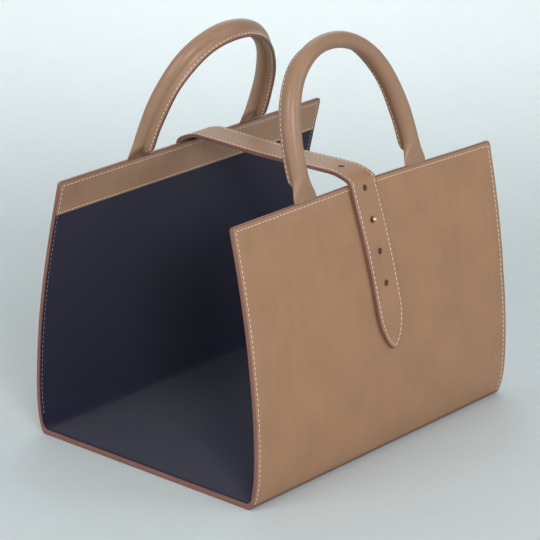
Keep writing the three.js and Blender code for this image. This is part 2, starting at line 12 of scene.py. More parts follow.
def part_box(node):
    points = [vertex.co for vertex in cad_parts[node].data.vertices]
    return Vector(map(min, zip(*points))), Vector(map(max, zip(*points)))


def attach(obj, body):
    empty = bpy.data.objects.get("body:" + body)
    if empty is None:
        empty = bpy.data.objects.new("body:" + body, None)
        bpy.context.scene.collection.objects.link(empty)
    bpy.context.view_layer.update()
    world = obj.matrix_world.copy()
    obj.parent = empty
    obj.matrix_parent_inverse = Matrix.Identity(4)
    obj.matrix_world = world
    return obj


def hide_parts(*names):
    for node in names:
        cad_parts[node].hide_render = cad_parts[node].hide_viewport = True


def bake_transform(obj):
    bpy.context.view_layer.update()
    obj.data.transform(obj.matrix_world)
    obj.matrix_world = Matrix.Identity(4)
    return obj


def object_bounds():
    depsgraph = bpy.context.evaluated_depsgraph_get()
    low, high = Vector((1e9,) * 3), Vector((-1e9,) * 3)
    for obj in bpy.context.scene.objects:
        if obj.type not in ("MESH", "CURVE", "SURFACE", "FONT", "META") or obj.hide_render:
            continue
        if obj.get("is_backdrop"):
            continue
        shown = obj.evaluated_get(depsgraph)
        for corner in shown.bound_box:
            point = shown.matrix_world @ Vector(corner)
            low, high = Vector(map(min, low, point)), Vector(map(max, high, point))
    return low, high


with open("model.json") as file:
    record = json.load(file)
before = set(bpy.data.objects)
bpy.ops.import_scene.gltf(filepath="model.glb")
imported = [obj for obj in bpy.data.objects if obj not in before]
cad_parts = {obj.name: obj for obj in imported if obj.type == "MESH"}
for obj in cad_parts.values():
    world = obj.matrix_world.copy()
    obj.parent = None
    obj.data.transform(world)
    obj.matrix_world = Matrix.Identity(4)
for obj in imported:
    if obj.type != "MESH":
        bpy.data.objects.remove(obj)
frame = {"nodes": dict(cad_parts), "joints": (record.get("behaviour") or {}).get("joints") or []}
CAD_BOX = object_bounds()

# Lengths below are in millimetres and become metres where a mesh is made.
MM = 0.001
RNG = random.Random(7)
FRONT, BACK = -1, 1

# ---------------------------------------------------------------- sizes

SIDE_NAME = {FRONT: "front", BACK: "back"}
JOINTS = {joint["name"]: joint for joint in frame["joints"]}
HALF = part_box("back_panel")[1].x / MM
WALL_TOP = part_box("back_panel")[1].z / MM
FACING_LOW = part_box("back_facing")[0].z / MM
BASE_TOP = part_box("base_panel")[1].z / MM
BASE_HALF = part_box("base_panel")[1].y / MM

# Depths of the wall's layers, in from its outer face.
PANEL_THICK = 1.2
FACING_OUTER, FACING_THICK = 2.3, 0.85
LINING_OUTER, LINING_THICK = 2.25, 0.4
WALL_THICK = FACING_OUTER + FACING_THICK
CORNER_ROUND = 2.5
FLOOR_CORNER = 7.5
# The wall's sheets end this far inside its outline, under the painted bead.
UNDER_BEAD = 0.3
# Where a wall's painted bead hands over to the base's painted end, as a height.
BASE_END_JOIN = 12.0
FLOOR_STEPS = 25

# The front wall's top edge droops towards +X, and its ends lean that way above a height.
FRONT_TOP = {"high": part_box("front_panel")[1].z / MM, "droop": 4.9, "from": -20.0, "to": 190.0}
FRONT_LEAN = {-1: 4.2, 1: 6.4}
LEAN_ABOVE = 112.0

# A stitch slants across its seam by so many degrees, give or take.
STITCH = {"pitch": 4.2, "length": 3.3, "radius": 0.36, "inset": 3.6, "slant": 5, "wander": 1.5}
STRAP_STITCH_INSET = 3.0
# How far a stitch's middle line lies below the leather's face, and below the inner faces.
STITCH_SUNK, STITCH_SUNK_INSIDE = 0.12, 0.02

# The painted bead on a wall's edge: a dome, squarer than a circle, on a root inside the layers.
BEAD = {"dome": 0.75, "squareness": 0.7, "sunk": 0.4, "root": -1.6, "points": 11}

ARCH = {"half_span": 69.7, "height": 117.0, "shoulder": 94.0, "shoulder_out": 4.9, "crown_half": 33.0}
TUBE_RADIUS = 7.0
FLANGE, FLANGE_STUB, LEAF = 6.0, 0.2, 1.5
FOOT = {"half_width": 13.3, "half_thick": 1.5, "spread": 20.0, "neck": -2.0, "round": 19.0}
FLANGE_FROM, FLANGE_TO = 4.0, 14.0
FLANGE_FILLET = 2.0
# A foot goes on past the arch's end by this much, down between the wall's layers.
FOOT_BURIED = 3.0
LEAN = {FRONT: 15.3, BACK: 25.6}
SWAY = {FRONT: -7.0, BACK: -16.5}
STRETCH = {FRONT: 0.98, BACK: 1.0}

STRAP_LOW, STRAP_HIGH = (np.array(corner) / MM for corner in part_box("strap_bridge"))
STRAP_HALF = (STRAP_HIGH[0] - STRAP_LOW[0]) / 2
STRAP_X = (STRAP_HIGH[0] + STRAP_LOW[0]) / 2
SEWN_END_LOW = STRAP_LOW[2]
TAIL_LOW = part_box("strap_tail")[0].z / MM
STRAP_STAND_OFF, STRAP_LAYER, STRAP_SEAM = 0.5, 1.48, 0.04
BEND = {
    "below_edge": 0.4, "crest_half": {FRONT: 70.0, BACK: 74.0}, "crest_z": 231.7,
    "start_pull": 3.0, "crest_pull": 5.0,
}
BRIDGE_SAG = 1.2
TAIL_DRIFT = math.radians(4.7)
TAIL_POINT = 38.0
SEWN_END_ROUND = 8.0
HOLE_RADIUS, HOLE_PITCH = 2.25, 26.7
STUD_Z = 195.3
STUD_BORE = 1.6

CAMERA_YAW = 49.752

# ---------------------------------------------------------------- the wall's shape, from the CAD


def lengths_along(path):
    """How far along a path each of its points is."""
    return np.concatenate([[0], np.cumsum(np.linalg.norm(np.diff(path, axis=0), axis=1))])


def measure_wall(side):
    """Heights, half-widths and lengths along a wall's outer face, smoothed over its facets."""
    node = f"{SIDE_NAME[side]}_panel"
    mesh = frame["nodes"][node].data
    tree = BVHTree.FromPolygons([v.co for v in mesh.vertices], [p.vertices for p in mesh.polygons])
    low, high = (corner.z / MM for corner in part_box(node))
    # Level rays come in from outside, to the left of the strap. These two are in metres.
    ray_x, ray_from = -0.1, 0.3
    inward = Vector((0, -side, 0))
    heights = np.linspace(low + 0.3, high - 0.6, 70)
    hits = [tree.ray_cast(Vector((ray_x, side * ray_from, z * MM)), inward)[0] for z in heights]
    halves = [abs(hit.y) / MM for hit in hits]
    middle = (low + high) / 2
    degree = 7
    fit = np.polynomial.Polynomial.fit(heights - middle, halves, degree)
    z = np.linspace(low, high, 600)
    half = fit(z - middle)
    along = lengths_along(np.column_stack([z, half]))
    return {"z": z, "y": half, "s": along, "ty": np.gradient(half, along), "tz": np.gradient(z, along)}


WALLS = {side: measure_wall(side) for side in SIDE_NAME}


def s_at(z, side):
    """Distance up a wall's leather, from its lower edge, at height z."""
    return float(np.interp(z, WALLS[side]["z"], WALLS[side]["s"]))


def smooth(x, low, high):
    t = np.clip((x - low) / (high - low), 0, 1)
    return t * t * (3 - 2 * t)


def edge_height(x, side):
    """The height of a wall's top edge."""
    if side == BACK:
        return WALL_TOP
    return FRONT_TOP["high"] - FRONT_TOP["droop"] * smooth(x, FRONT_TOP["from"], FRONT_TOP["to"])


def end_of_wall(z, side, end):
    """Where a wall's end stands along the bag at height z."""
    lean = FRONT_LEAN[end] if side == FRONT else 0.0
    top = edge_height(end * HALF + lean, side)
    return end * HALF + lean * np.clip((z - LEAN_ABOVE) / (top - LEAN_ABOVE), 0, 1)


def on_wall(side):
    """A placer for one wall.

    x runs along the bag, s up the leather from its lower edge, and depth in from the outer face."""
    wall = WALLS[side]

    def place(x, s, depth):
        x, s, depth = np.broadcast_arrays(*(np.asarray(a, float) for a in (x, s, depth)))
        inside = np.clip(s, 0, wall["s"][-1])
        y, z, ty, tz = (np.interp(inside, wall["s"], wall[key]) for key in ("y", "z", "ty", "tz"))
        y = y + ty * (s - inside) - tz * depth
        z = z + tz * (s - inside) + ty * depth
        return np.stack([x, side * y, z], -1)

    return place


# ---------------------------------------------------------------- mesh tools


def set_uv(mesh, uv):
    """Gives every face corner the uv pair of its vertex, in metres."""
    layer = mesh.uv_layers.get("UVMap") or mesh.uv_layers.new(name="UVMap")
    corners = np.empty(len(mesh.loops), np.int32)
    mesh.loops.foreach_get("vertex_index", corners)
    layer.data.foreach_set("uv", np.asarray(uv, np.float32)[corners].ravel())


def new_object(name, points, faces, materials, uv=None, face_slots=None):
    """An object from points in millimetres. uv has one pair for each vertex, in metres."""
    mesh = bpy.data.meshes.new(name)
    mesh.from_pydata((np.asarray(points) * MM).tolist(), [], [list(map(int, face)) for face in faces])
    mesh.validate()
    if uv is not None:
        set_uv(mesh, uv)
    for material in materials:
        mesh.materials.append(material)
    if face_slots is not None:
        mesh.polygons.foreach_set("material_index", np.asarray(face_slots, np.int32))
    mesh.polygons.foreach_set("use_smooth", np.ones(len(mesh.polygons), bool))
    mesh.update()
    obj = bpy.data.objects.new(name, mesh)
    bpy.context.scene.collection.objects.link(obj)
    return obj


def resample(loop, step):
    """A closed outline with all its own points, and more between them at about a step apart."""
    loop = np.asarray(loop, float)
    nxt = np.roll(loop, -1, 0)
    points = []
    for a, b in zip(loop, nxt):
        pieces = max(1, int(round(np.hypot(*(b - a)) / step)))
        points.extend(a + (b - a) * (i / pieces) for i in range(pieces))
    return np.array(points)


def distance_to_loop(points, loop):
    """Shortest distance from each point to a closed outline."""
    a, b = loop, np.roll(loop, -1, 0)
    d = b - a
    best = np.full(len(points), 1e9)
    for start, span in zip(a, d):
        t = np.clip(((points - start) @ span) / max(span @ span, 1e-12), 0, 1)
        gap = points - start - t[:, None] * span
        best = np.minimum(best, np.hypot(gap[:, 0], gap[:, 1]))
    return best


def inside_loop(points, loop):
    crossings = np.zeros(len(points), int)
    for p, q in zip(loop, np.roll(loop, -1, 0)):
        if p[1] == q[1]:
            continue
        spans = (points[:, 1] >= min(p[1], q[1])) & (points[:, 1] < max(p[1], q[1]))
        x = p[0] + (points[:, 1] - p[1]) * (q[0] - p[0]) / (q[1] - p[1])
        crossings += spans & (points[:, 0] < x)
    return crossings % 2 == 1


def leftward(along):
    """Unit vectors square to these directions, to their left."""
    along = along / np.maximum(np.hypot(along[:, 0], along[:, 1]), 1e-9)[:, None]
    return np.stack([-along[:, 1], along[:, 0]], -1)


NEAR_ENOUGH = 0.93


def inward_rows(loop, insets):
    """Copies of an anticlockwise outline, each moved in by one of the insets.

    A point that would come nearer to the outline elsewhere is left out."""
    inward = leftward(np.roll(loop, -1, 0) - np.roll(loop, 1, 0))
    rows = []
    for inset in insets:
        row = loop + inward * inset
        rows.append(row[distance_to_loop(row, loop) > inset * NEAR_ENOUGH])
    return rows


def circle(centre, radius, count=28):
    angles = np.arange(count) * 2 * math.pi / count
    return np.stack([centre[0] + radius * np.cos(angles), centre[1] + radius * np.sin(angles)], -1)


# A leather sheet's edges are rounded by a share of its thickness. Rows of points lie at a share of the
# rounding, at its end and where the open face starts.
EDGE_ROUND, EDGE_ROW = 0.42, 0.35
FACE_FROM, FACE_FROM_HOLE = 1.6, 1.8
GROOVE_ROWS, GROOVE_WIDTH = (-0.9, -0.4, 0, 0.4, 0.9), 0.45
# Nothing nearer than this to the outline belongs to a hole.
HOLE_CLEAR = 1.0
SLIVER = 1e-7


def leather_sheet(name, outline, place, top, thick, materials, holes=(), groove=None, spacing=4.0, step=2.0):
    """A sheet cut to a flat outline and set in place: rounded edges, real holes, and a sewn-in line.

    place(u, v, depth) puts flat points in space. materials are the face's, the cut edge's and the inside
    of a hole's. groove is (inset, depth, where), the line that the thread presses in; where(u, v) is its
    share."""
    round_off = EDGE_ROUND * thick
    loop = resample(outline, step)
    edge_rows = [EDGE_ROW * round_off, round_off, FACE_FROM]
    if groove:
        edge_rows += [groove[0] + d for d in GROOVE_ROWS]
    points = [loop]
    for hole in holes:
        points.append(circle(*hole))
    fixed = [len(p) for p in points]
    loose = inward_rows(loop, edge_rows)
    for centre, radius in holes:
        loose += [circle(centre, radius + more) for more in (EDGE_ROW * round_off, round_off, FACE_FROM_HOLE)]
    low, high = loop.min(0), loop.max(0)
    grid = np.stack(np.meshgrid(
        np.arange(low[0] + spacing / 2, high[0], spacing),
        np.arange(low[1] + spacing / 2, high[1], spacing)), -1).reshape(-1, 2)
    grid = grid[inside_loop(grid, loop) & (distance_to_loop(grid, loop) > edge_rows[-1] + 0.5 * spacing)]
    loose.append(grid)
    loose = np.concatenate(loose)
    keep = inside_loop(loose, loop)
    for centre, radius in holes:
        keep &= np.hypot(*(loose - centre).T) > radius + 0.3 * round_off
    flat = np.concatenate(points + [loose[keep]])
    edges, start = [], 0
    for count in fixed:
        edges += [(start + i, start + (i + 1) % count) for i in range(count)]
        start += count
    verts, _, faces, _, _, _ = delaunay_2d_cdt([Vector(p) for p in flat], edges, [], 1, 1e-4)
    flat = np.array([(v.x, v.y) for v in verts])
    faces = np.array([list(f) for f in faces if len(f) == 3])
    for centre, radius in holes:
        middle = flat[faces].mean(1)
        faces = faces[np.hypot(*(middle - centre).T) > radius * 0.98]
    a, b, c = flat[faces[:, 0]], flat[faces[:, 1]], flat[faces[:, 2]]
    area = (b[:, 0] - a[:, 0]) * (c[:, 1] - a[:, 1]) - (b[:, 1] - a[:, 1]) * (c[:, 0] - a[:, 0])
    faces, area = faces[np.abs(area) > SLIVER], area[np.abs(area) > SLIVER]
    faces[area < 0] = faces[area < 0][:, ::-1]

    rim = distance_to_loop(flat, loop)
    edge = rim.copy()
    for centre, radius in holes:
        edge = np.minimum(edge, np.abs(np.hypot(*(flat - centre).T) - radius))
    short = np.clip(round_off - edge, 0, round_off)
    drop = round_off - np.sqrt(np.maximum(round_off ** 2 - short ** 2, 0))
    pressed = np.zeros(len(flat))
    if groove:
        inset, depth, where = groove
        pressed = depth * np.exp(-((rim - inset) / GROOVE_WIDTH) ** 2) * where(flat[:, 0], flat[:, 1])
    upper = place(flat[:, 0], flat[:, 1], top + drop + pressed)
    lower = place(flat[:, 0], flat[:, 1], top + thick - drop)

    # A dict, not a set, so that the borders keep one order.
    seen = dict.fromkeys((int(f[i]), int(f[(i + 1) % 3])) for f in faces for i in range(3))
    borders = [(p, q) for p, q in seen if (q, p) not in seen]
    n = len(flat)
    all_faces = [list(f) for f in faces] + [[n + f[2], n + f[1], n + f[0]] for f in faces]
    all_faces += [[q, p, n + p, n + q] for p, q in borders]
    face_rim, face_edge = rim[faces].mean(1), edge[faces].mean(1)
    painted = (face_rim < 0.8 * round_off).astype(int)
    # The lip round a hole takes the hole's darker leather, as the hole's own walls do below: painted shade in
    # and round the hole, over the cut leather's own tone.
    painted[(face_rim > HOLE_CLEAR) & (face_edge < 0.9 * round_off)] = 2
    on_border = [2 if rim[p] > HOLE_CLEAR else 1 for p, _ in borders]
    slots = np.concatenate([painted, painted, on_border])
    obj = new_object(name, np.concatenate([upper, lower]), all_faces, materials,
                     np.concatenate([flat, flat]) * MM, slots)
    face_outwards(obj)
    return obj


def face_outwards(obj):
    """Turns a closed mesh's faces round if its signed volume says that they point in.

    A placer's axes may run either way, so a mesh isn't known to be right until it is placed."""
    mesh = obj.data
    mesh.calc_loop_triangles()
    co = np.array([v.co for v in mesh.vertices])
    tri = np.array([t.vertices for t in mesh.loop_triangles])
    if np.einsum("ij,ij->", co[tri[:, 0]], np.cross(co[tri[:, 1]], co[tri[:, 2]])) < 0:
        mesh.flip_normals()
    mesh.update()


def tube_faces(count, size):
    """Faces that join count rings of size points each, and close both ends."""
    faces = []
    for i in range(count - 1):
        for j in range(size):
            k = (j + 1) % size
            faces.append([i * size + j, i * size + k, (i + 1) * size + k, (i + 1) * size + j])
    return faces + [list(range(size))[::-1], [(count - 1) * size + j for j in range(size)]]


def swept(name, rings, materials):
    """Rings of equal size joined into one closed body."""
    rings = np.asarray(rings, float)
    count, size = rings.shape[:2]
    faces = tube_faces(count, size)
    along, around = lengths_along(rings.mean(1)), lengths_along(rings[count // 2])
    uv = np.stack(np.broadcast_arrays(around[None, :], along[:, None]), -1).reshape(-1, 2) * MM
    obj = new_object(name, rings.reshape(-1, 3), faces, materials, uv)
    face_outwards(obj)
    return obj


def evenly(path, count):
    """Points evenly spaced along an open path, from its start to its end."""
    lengths = lengths_along(path)
    at = np.linspace(0, lengths[-1], count)
    return np.stack([np.interp(at, lengths, path[:, k]) for k in (0, 1)], -1)


def resample_open(path, step):
    return evenly(path, max(2, int(lengths_along(path)[-1] / step)) + 1)


# ---------------------------------------------------------------- stitches

STITCH_SIDES, STITCH_RINGS = 6, 7


def stitch_template():
    """One thread stitch: along, across and height, its ends diving into the leather."""
    radius, length = STITCH["radius"], STITCH["length"]
    thin_end, swell = 0.55, 0.45
    rise, sunk = 1.15, 0.65
    rows = []
    for i in range(STITCH_RINGS):
        t = i / (STITCH_RINGS - 1)
        along = (t - 0.5) * length
        arch = math.sin(math.pi * t) ** 0.6
        girth = radius * (thin_end + swell * arch)
        centre = radius * (rise * arch - sunk)
        for j in range(STITCH_SIDES):
            angle = 2 * math.pi * j / STITCH_SIDES
            rows.append((along, girth * math.cos(angle), girth * math.sin(angle) + centre))
    return np.array(rows), tube_faces(STITCH_RINGS, STITCH_SIDES)


TEMPLATE, TEMPLATE_FACES = stitch_template()


def stitch_run(path, place, depth, out=1.0):
    """Points of the stitches along a flat path. depth is the leather's face; out is -1 on its inner face."""
    path = np.asarray(path, float)
    lengths = lengths_along(path)
    count = max(1, int(round(lengths[-1] / STITCH["pitch"])))
    points = []
    for i in range(count):
        middle = (i + 0.5) * lengths[-1] / count
        u, v = (np.interp(middle, lengths, path[:, k]) for k in (0, 1))
        ahead, behind = (
            [np.interp(middle + d, lengths, path[:, k]) for k in (0, 1)] for d in (0.5, -0.5))
        heading = math.atan2(ahead[1] - behind[1], ahead[0] - behind[0])
        heading += math.radians(STITCH["slant"] + RNG.uniform(-STITCH["wander"], STITCH["wander"]))
        c, s = math.cos(heading), math.sin(heading)
        along, across, height = TEMPLATE.T
        points.append(place(u + along * c - across * s, v + along * s + across * c, depth - out * height))
    return points


def thread_object(name, runs, body, thread=None):
    stitches = [stitch for run in runs for stitch in run]
    size = len(TEMPLATE)
    faces = [[i * size + k for k in face] for i in range(len(stitches)) for face in TEMPLATE_FACES]
    uv = np.tile(TEMPLATE[:, :2] * MM, (len(stitches), 1))
    obj = new_object(name, np.concatenate(stitches), faces, [thread or THREAD], uv)
    if body:
        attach(obj, body)
    return obj


# ---------------------------------------------------------------- materials


class Nodes:
    """Short helpers for one material's node tree."""

    def __init__(self, name):
        self.material = bpy.data.materials.new(name)
        self.material.use_nodes = True
        self.tree = self.material.node_tree
        self.shader = self.tree.nodes["Principled BSDF"]

    def add(self, kind, **values):
        node = self.tree.nodes.new(kind)
        for key, value in values.items():
            if key in node.inputs:
                node.inputs[key].default_value = value
            else:
                setattr(node, key, value)
        return node

    def link(self, out, into):
        self.tree.links.new(out, into)

    def coordinates(self, use_uv, stretch=(1, 1, 1)):
        source = self.add("ShaderNodeTexCoord").outputs["UV" if use_uv else "Object"]
        mapping = self.add("ShaderNodeMapping", Scale=stretch)
        self.link(source, mapping.inputs["Vector"])
        return mapping.outputs["Vector"]

    def noise(self, where, scale, detail=3.0, roughness=0.55):
        node = self.add("ShaderNodeTexNoise", Scale=scale, Detail=detail, Roughness=roughness)
        self.link(where, node.inputs["Vector"])
        return node.outputs["Fac"]

    def ramp(self, value, colour, *stops):
        """One colour, darker and lighter along a value: each stop is a position and a factor."""
        node = self.add("ShaderNodeValToRGB")
        elements = node.color_ramp.elements
        while len(elements) < len(stops):
            elements.new(0.5)
        for element, (position, factor) in zip(elements, stops):
            element.position = position
            element.color = (*scaled(colour, factor), 1)
        self.link(value, node.inputs["Fac"])
        return node.outputs["Color"]

    def spread(self, value, low, high):
        """Noise, which keeps mostly to its middle, spread from low to high."""
        node = self.add("ShaderNodeMapRange",
                        **{"From Min": 0.3, "From Max": 0.7, "To Min": low, "To Max": high})
        self.link(value, node.inputs["Value"])
        return node.outputs["Result"]

    def mix(self, share, a, b, blend="MIX"):
        node = self.add("ShaderNodeMix", data_type="RGBA", blend_type=blend)
        for value, socket in ((share, node.inputs[0]), (a, node.inputs[6]), (b, node.inputs[7])):
            if isinstance(value, (int, float, tuple)):
                socket.default_value = value
            else:
                self.link(value, socket)
        return node.outputs[2]

    def bump(self, height, distance, strength=1.0, under=None):
        node = self.add("ShaderNodeBump", Strength=strength, Distance=distance)
        self.link(height, node.inputs["Height"])
        if under is not None:
            self.link(under, node.inputs["Normal"])
        return node.outputs["Normal"]

    def shade(self, **values):
        """Sets the shader's own inputs, named with underscores for spaces."""
        for name, value in values.items():
            self.shader.inputs[name.replace("_", " ")].default_value = value

    def finish(self, colour=None, roughness=None, normal=None):
        for value, name in ((colour, "Base Color"), (roughness, "Roughness"), (normal, "Normal")):
            if value is not None:
                self.link(value, self.shader.inputs[name])
        return self.material


def linear(red, green, blue):
    """A colour given in sRGB, 0 to 255, as the linear numbers that a shader takes."""
    shares = (red / 255, green / 255, blue / 255)
    return tuple(c / 12.92 if c <= 0.04045 else ((c + 0.055) / 1.055) ** 2.4 for c in shares)


def scaled(colour, factor):
    return tuple(min(1.0, c * factor) for c in colour)


def leather(name, colour, grain=1.0, use_uv=True, gloss=0.0):
    """Smooth calf leather: cloudy dye, fine pores, long soft creases."""
    n = Nodes(name)
    where = n.coordinates(use_uv)
    streaked = n.coordinates(use_uv, (1, 0.22, 1))
    clouds = n.noise(where, 26, 4)
    streaks = n.noise(streaked, 120, 4)
    fine = n.noise(where, 900, 2)
    dye = n.ramp(clouds, colour, (0.28, 0.86), (0.52, 1), (0.78, 1.12))
    dye = n.mix(0.22, dye, n.ramp(streaks, colour, (0.3, 0.78), (0.7, 1.16)))
    dye = n.mix(0.14, dye, n.ramp(fine, colour, (0.35, 0.6), (0.65, 1.3)))
    pores = n.add("ShaderNodeTexVoronoi", feature="SMOOTH_F1", Scale=1150.0)
    n.link(where, pores.inputs["Vector"])
    creases = n.bump(n.noise(where, 85, 4), 0.00030 * grain, 0.35)
    bumps = n.bump(pores.outputs["Distance"], 0.00007 * grain, 0.8, creases)
    n.shade(Specular_IOR_Level=0.42, Coat_Weight=0.06 + 0.3 * gloss, Coat_Roughness=0.32 - 0.1 * gloss)
    return n.finish(dye, n.spread(clouds, 0.44 - 0.1 * gloss, 0.58 - 0.1 * gloss), bumps)


def edge_paint(name, colour):
    """Burnished edge paint: smooth, semi-gloss, with faint runs."""
    n = Nodes(name)
    where = n.coordinates(True)
    runs = n.noise(n.coordinates(True, (1, 0.15, 1)), 260, 3)
    tone = n.ramp(runs, colour, (0.3, 0.84), (0.7, 1.14))
    tone = n.mix(0.12, tone, n.ramp(n.noise(where, 1300, 2), colour, (0.35, 0.6), (0.65, 1.3)))
    n.shade(Specular_IOR_Level=0.45)
    return n.finish(tone, n.spread(runs, 0.36, 0.5), n.bump(n.noise(where, 420, 3), 0.00010, 0.5))


def woven(name, colour, pitch, use_uv=True):
    """A close plain weave, with warp and weft that stand up in turn."""
    n = Nodes(name)
    where = n.coordinates(use_uv)
    heights = []
    for axis in ("X", "Y"):
        wave = n.add("ShaderNodeTexWave", wave_type="BANDS", bands_direction=axis,
                     Scale=0.314 / pitch, Distortion=0.6, Detail=1.0)
        n.link(where, wave.inputs["Vector"])
        heights.append(wave.outputs["Fac"])
    weave = n.add("ShaderNodeMath", operation="MULTIPLY")
    n.link(heights[0], weave.inputs[0])
    n.link(heights[1], weave.inputs[1])
    clouds = n.noise(where, 45, 3)
    tone = n.ramp(clouds, colour, (0.3, 0.82), (0.7, 1.2))
    # The tone follows the weave's height: painted shade in the dips between the threads and a painted
    # highlight on their crests.
    tone = n.mix(0.3, tone, n.ramp(weave.outputs[0], colour, (0.0, 0.5), (0.8, 1.5)))
    n.shade(Sheen_Weight=0.12, Sheen_Roughness=0.5, Specular_IOR_Level=0.2)
    return n.finish(tone, n.spread(clouds, 0.82, 0.94), n.bump(weave.outputs[0], pitch * 0.35, 0.7))


def twisted_thread(name, colour):
    """Waxed thread with its plies wound round."""
    n = Nodes(name)
    wave = n.add("ShaderNodeTexWave", wave_type="BANDS", bands_direction="DIAGONAL", Scale=520.0)
    n.link(n.coordinates(True), wave.inputs["Vector"])
    # Darker in the grooves between the plies and lighter on their tops: painted shade and painted highlight
    # following the plies' bump.
    tone = n.ramp(wave.outputs["Fac"], colour, (0.1, 0.78), (0.8, 1.06))
    return n.finish(tone, n.spread(wave.outputs["Fac"], 0.5, 0.66), n.bump(wave.outputs["Fac"], 0.00006, 0.8))


def board(name, colour):
    """Pressed fibre board with flecks."""
    n = Nodes(name)
    where = n.coordinates(False, (1, 1, 3))
    flecks = n.noise(where, 700, 5)
    return n.finish(n.ramp(flecks, colour, (0.35, 0.72), (0.65, 1.18)),
                    n.spread(flecks, 0.8, 0.95), n.bump(flecks, 0.0002, 0.6))


def polished_brass(name, colour):
    """Brass with hairline rubbing marks and a little tarnish."""
    n = Nodes(name)
    marks = n.noise(n.coordinates(False, (1, 6, 1)), 900, 3)
    tarnish = n.noise(n.coordinates(False), 320, 3)
    n.shade(Metallic=1.0)
    return n.finish(n.ramp(tarnish, colour, (0.35, 0.74), (0.65, 1.08)),
                    n.spread(marks, 0.16, 0.3), n.bump(marks, 0.00003, 0.4))


TAN = leather("tan_leather", linear(160, 120, 89))
TAN_HANDLE = leather("tan_handle", linear(152, 117, 92), gloss=0.55)
TAN_INSIDE = leather("tan_facing", linear(166, 130, 103))
TAN_CAD = leather("tan_tab", linear(150, 116, 92), use_uv=False)
# The cut leather inside a hole, darker than the face: partly its own tone, partly painted shade in the hole.
SHADED_HOLE_WALL = leather("tan_hole_shaded", linear(112, 92, 72))
PAINT = edge_paint("painted_edge", linear(126, 84, 74))
BASE_LEATHER = leather("base_leather", linear(120, 90, 82), 0.8)
NAVY = woven("navy_cloth", linear(34, 33, 58), 0.00055)
THREAD = twisted_thread("cream_thread", linear(226, 216, 196))
THREAD_INSIDE = twisted_thread("grey_thread", linear(140, 138, 146))
BOARD = board("fibre_board", linear(141, 135, 120))
COTTON = woven("cotton_cord", linear(216, 207, 184), 0.0009, use_uv=False)
BRASS = polished_brass("brass", linear(212, 190, 136))

# ---------------------------------------------------------------- walls


def rim_path(side, low, inset):
    """Round a wall's edge at an inset, in x and s: up its left end from s = low, along the top and down."""
    wall = WALLS[side]
    round_off = max(CORNER_ROUND - inset, 0.8)
    knee = s_at(LEAN_ABOVE, side)
    halves = []
    for end in (-1, 1):
        def x_at(s):
            return float(end_of_wall(np.interp(s, wall["s"], wall["z"]), side, end)) - end * inset

        corner_x = x_at(wall["s"][-1])
        corner_s = s_at(edge_height(corner_x, side), side) - inset
        half = [(x_at(low), low)] + ([(x_at(knee), knee)] if low < knee else [])
        for angle in np.radians(np.linspace(0, 90, 9)):
            x = corner_x - end * round_off * (1 - math.cos(angle))
            half.append((x, corner_s - round_off * (1 - math.sin(angle))))
        halves.append(half)
    left, right = halves
    across = np.linspace(left[-1][0], right[-1][0], 40)[1:-1]
    top = [(x, s_at(edge_height(x, side), side) - inset) for x in across]
    return np.array(left + top + right[::-1])


def bead_section():
    """The bead's dome: angles from face to face, and how far it stands out past the edge at each."""
    angles = np.linspace(0, math.pi, BEAD["points"])
    return angles, BEAD["dome"] * np.sin(angles) ** BEAD["squareness"] - BEAD["sunk"]


def painted_rim(side):
    """The painted edge of a wall: one rounded bead over all its layers."""
    place = on_wall(side)
    path = resample_open(rim_path(side, s_at(BASE_END_JOIN, side), 0), 2.0)
    outward = leftward(np.gradient(path, axis=0))
    rings = [place(*edge_bead(point, out)) for point, out in zip(path, outward)]
    return swept(f"{SIDE_NAME[side]}_wall_edge", rings, [PAINT])


def edge_bead(point, out):
    """The bead round one point of a wall's edge, as x, s and depth."""
    angles, rise = bead_section()
    middle, half_thick = WALL_THICK / 2, WALL_THICK / 2 - 0.02
    depth = np.concatenate([middle - half_thick * np.cos(angles), [WALL_THICK - 0.3, 0.3]])
    rise = np.concatenate([rise, [BEAD["root"]] * 2])
    return point[0] + out[0] * rise, point[1] + out[1] * rise, depth


def sewn_edges(u, v):
    """Where the wall's thread runs: both ends and the top, but not the bottom."""
    return np.where(v > STITCH["inset"] + 3, 1.0, 0.0)


def build_wall(side):
    label = SIDE_NAME[side]
    place = on_wall(side)
    outline = rim_path(side, 0, UNDER_BEAD)[::-1]
    holes = [((STUD_X, s_at(STUD_Z, FRONT)), STUD_BORE)] if side == FRONT else []
    panel = leather_sheet(f"{label}_wall_leather", outline, place, 0, PANEL_THICK, [TAN, PAINT, SHADED_HOLE_WALL],
                          holes, (STITCH["inset"], 0.28, sewn_edges))
    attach(panel, "bag")
    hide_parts(f"{label}_panel")

    facing_low = s_at(FACING_LOW, side)
    facing_outline = rim_path(side, facing_low, UNDER_BEAD)[::-1]
    facing = leather_sheet(f"{label}_top_facing", facing_outline, place, FACING_OUTER, FACING_THICK,
                           [TAN_INSIDE, PAINT])
    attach(facing, "bag")
    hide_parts(f"{label}_facing")

    rim = painted_rim(side)
    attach(rim, "bag")

    outside = rim_path(side, 0.0, STITCH["inset"])
    inside_from, hem_inset, hem_rise = 15.0, 5, 2.2
    inside = resample_open(rim_path(side, s_at(inside_from, side), STITCH["inset"]), 1.0)
    hem = np.array([(end_of_wall(FACING_LOW, side, end) - hem_inset * end, facing_low + hem_rise)
                    for end in (-1, 1)])
    on_facing = inside[:, 1] > facing_low
    first, last = np.flatnonzero(on_facing)[[0, -1]]
    thread_object(f"{label}_wall_stitches", [
        stitch_run(outside, place, STITCH_SUNK),
        stitch_run(inside[first:last + 1], place, WALL_THICK - STITCH_SUNK_INSIDE, -1),
        stitch_run(hem, place, WALL_THICK - STITCH_SUNK_INSIDE, -1),
    ], "bag")
    on_lining = LINING_OUTER + LINING_THICK - STITCH_SUNK_INSIDE
    thread_object(f"{label}_inner_stitches", [
        stitch_run(run, place, on_lining, -1) for run in (inside[:first], inside[last + 1:])
    ], "bag", THREAD_INSIDE)


# ---------------------------------------------------------------- lining and base


